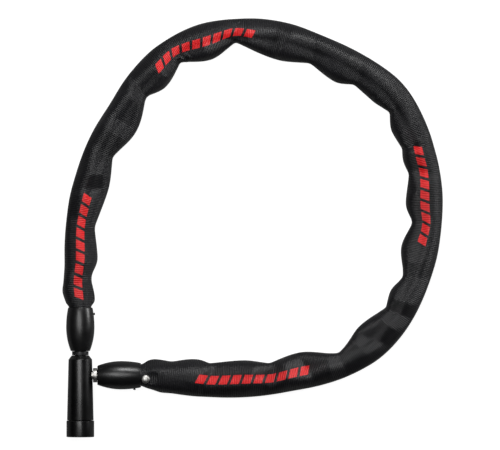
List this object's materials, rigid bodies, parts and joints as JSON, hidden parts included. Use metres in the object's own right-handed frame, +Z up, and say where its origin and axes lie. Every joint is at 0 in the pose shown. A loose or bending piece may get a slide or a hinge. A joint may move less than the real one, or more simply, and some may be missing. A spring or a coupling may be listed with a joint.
{
  "type": "chain lock",
  "caption": "Chain lock: link chain in a black fabric sleeve between two barrel caps, closed by a bolt that enters the side of a barrel lock.",
  "frame": {"origin": "on the surface the lock lies on, under the middle of its outline seen from above", "axes": "+Z up; +Y along the barrel lock from its key end towards its chain; +X the way the bolt leaves the barrel"},
  "size_m": [0.3503, 0.3881, 0.0264],
  "materials": {
    "fabric": "ribbed woven tube, dull with a faint sheen",
    "black_plastic": "satin moulded plastic",
    "cover_paint": "satin black",
    "chain_steel": "hardened, plated",
    "bright_steel": "turned, bright",
    "dark_steel": "blackened",
    "brass": "machined"
  },
  "bodies": {
    "chain_5": {"link_17": "chain_steel", "link_18": "chain_steel", "link_19": "chain_steel", "link_20": "chain_steel", "link_21": "chain_steel", "fabric_sleeve": "fabric"},
    "chain_1": {"link_01": "chain_steel", "link_02": "chain_steel", "link_03": "chain_steel", "link_04": "chain_steel"},
    "chain_2": {"link_05": "chain_steel", "link_06": "chain_steel", "link_07": "chain_steel", "link_08": "chain_steel"},
    "chain_3": {"link_09": "chain_steel", "link_10": "chain_steel", "link_11": "chain_steel", "link_12": "chain_steel"},
    "chain_4": {"link_13": "chain_steel", "link_14": "chain_steel", "link_15": "chain_steel", "link_16": "chain_steel"},
    "chain_6": {"link_22": "chain_steel", "link_23": "chain_steel", "link_24": "chain_steel", "link_25": "chain_steel"},
    "chain_7": {"link_26": "chain_steel", "link_27": "chain_steel", "link_28": "chain_steel", "link_29": "chain_steel"},
    "chain_8": {"link_30": "chain_steel", "link_31": "chain_steel", "link_32": "chain_steel", "link_33": "chain_steel"},
    "chain_9": {"link_34": "chain_steel", "link_35": "chain_steel", "link_36": "chain_steel", "link_37": "chain_steel"},
    "lock_end": {"housing_cover": "cover_paint", "lock_body": "dark_steel", "end_ring": "cover_paint", "cylinder_shell": "brass", "cylinder_pin": "bright_steel", "anchor_stud": "dark_steel", "fixed_chain_pin": "bright_steel", "fixed_cap": "black_plastic", "fixed_cap_rivet": "dark_steel"},
    "plug": {"key_plug": "brass", "plug_clip": "dark_steel"},
    "latch": {"latch": "bright_steel"},
    "bush": {"neck_bush": "dark_steel"},
    "free_end": {"bolt_socket": "dark_steel", "bolt_ring": "brass", "free_chain_pin": "bright_steel", "free_cap": "black_plastic", "free_cap_rivet": "dark_steel", "sleeve_rivet": "bright_steel"},
    "bolt": {"bolt": "bright_steel"}
  },
  "joints": [
    {"name": "bend_chain_4_chain_5", "type": "hinge", "parent": "chain_5", "child": "chain_4", "pos_m": [0.07345, 0.16367, 0.0095], "axis": [0, 0, -1], "range_deg": [0, 6.43]},
    {"name": "loop_open", "type": "hinge", "parent": "chain_4", "child": "chain_3", "pos_m": [-0.03126, 0.18293, 0.0095], "axis": [0, 0, -1], "range_deg": [0, 9.3], "deforming": ["fabric_sleeve"]},
    {"name": "bend_chain_2_chain_3", "type": "hinge", "parent": "chain_3", "child": "chain_2", "pos_m": [-0.11715, 0.12321, 0.0095], "axis": [0, 0, -1], "range_deg": [0, 4.94]},
    {"name": "bend_chain_1_chain_2", "type": "hinge", "parent": "chain_2", "child": "chain_1", "pos_m": [-0.16056, 0.02571, 0.0095], "axis": [0, 0, -1], "range_deg": [-6.46, 0]},
    {"name": "bend_lock_end_chain_1", "type": "hinge", "parent": "chain_1", "child": "lock_end", "pos_m": [-0.1619, -0.0818, 0.0132], "axis": [0, 0, -1], "range_deg": [-0.55131, 0]},
    {"name": "bend_chain_5_chain_6", "type": "hinge", "parent": "chain_5", "child": "chain_6", "pos_m": [0.1569, 0.07306, 0.0095], "axis": [0, 0, 1], "range_deg": [0, 1.8]},
    {"name": "bend_chain_6_chain_7", "type": "hinge", "parent": "chain_6", "child": "chain_7", "pos_m": [0.15735, -0.0334, 0.0095], "axis": [0, 0, 1], "range_deg": [-2.32, 0]},
    {"name": "bend_chain_7_chain_8", "type": "hinge", "parent": "chain_7", "child": "chain_8", "pos_m": [0.09708, -0.11991, 0.0095], "axis": [0, 0, 1], "range_deg": [-6.25, 0]},
    {"name": "bend_chain_8_chain_9", "type": "hinge", "parent": "chain_8", "child": "chain_9", "pos_m": [-0.00664, -0.14601, 0.0095], "axis": [0, 0, 1], "range_deg": [-6.79, 0]},
    {"name": "bend_chain_9_free_end", "type": "hinge", "parent": "chain_9", "child": "free_end", "pos_m": [-0.1136, -0.1367, 0.0132], "axis": [0, 0, 1], "range_deg": [-0.09691, 0]},
    {"name": "bolt_spin", "type": "hinge", "parent": "free_end", "child": "bolt", "pos_m": [-0.1619, -0.1367, 0.0132], "axis": [1, 0, 0], "continuous": true},
    {"name": "plug_turn", "type": "hinge", "parent": "lock_end", "child": "plug", "pos_m": [-0.1619, -0.1367, 0.0132], "axis": [0, -1, 0], "range_deg": [0, 90]},
    {"name": "latch_slide", "type": "slide", "parent": "lock_end", "child": "latch", "axis": [0, 0, 1], "range_m": [0, 0.0045]},
    {"name": "bush_spin", "type": "hinge", "parent": "lock_end", "child": "bush", "pos_m": [-0.1619, -0.1367, 0.0132], "axis": [0, 1, 0], "continuous": true}
  ],
  "couplings": [
    {"joint": "bend_lock_end_chain_1", "follows": "loop_open", "ratio": -0.05928},
    {"joint": "bend_chain_1_chain_2", "follows": "loop_open", "ratio": -0.69432},
    {"joint": "bend_chain_2_chain_3", "follows": "loop_open", "ratio": 0.5315},
    {"joint": "bend_chain_4_chain_5", "follows": "loop_open", "ratio": 0.6918},
    {"joint": "bend_chain_5_chain_6", "follows": "loop_open", "ratio": 0.19353},
    {"joint": "bend_chain_6_chain_7", "follows": "loop_open", "ratio": -0.24995},
    {"joint": "bend_chain_7_chain_8", "follows": "loop_open", "ratio": -0.67256},
    {"joint": "bend_chain_8_chain_9", "follows": "loop_open", "ratio": -0.7303},
    {"joint": "bend_chain_9_free_end", "follows": "loop_open", "ratio": -0.01042},
    {"joint": "plug_turn", "follows": "latch_slide", "rad_per_m": 349.06}
  ]
}
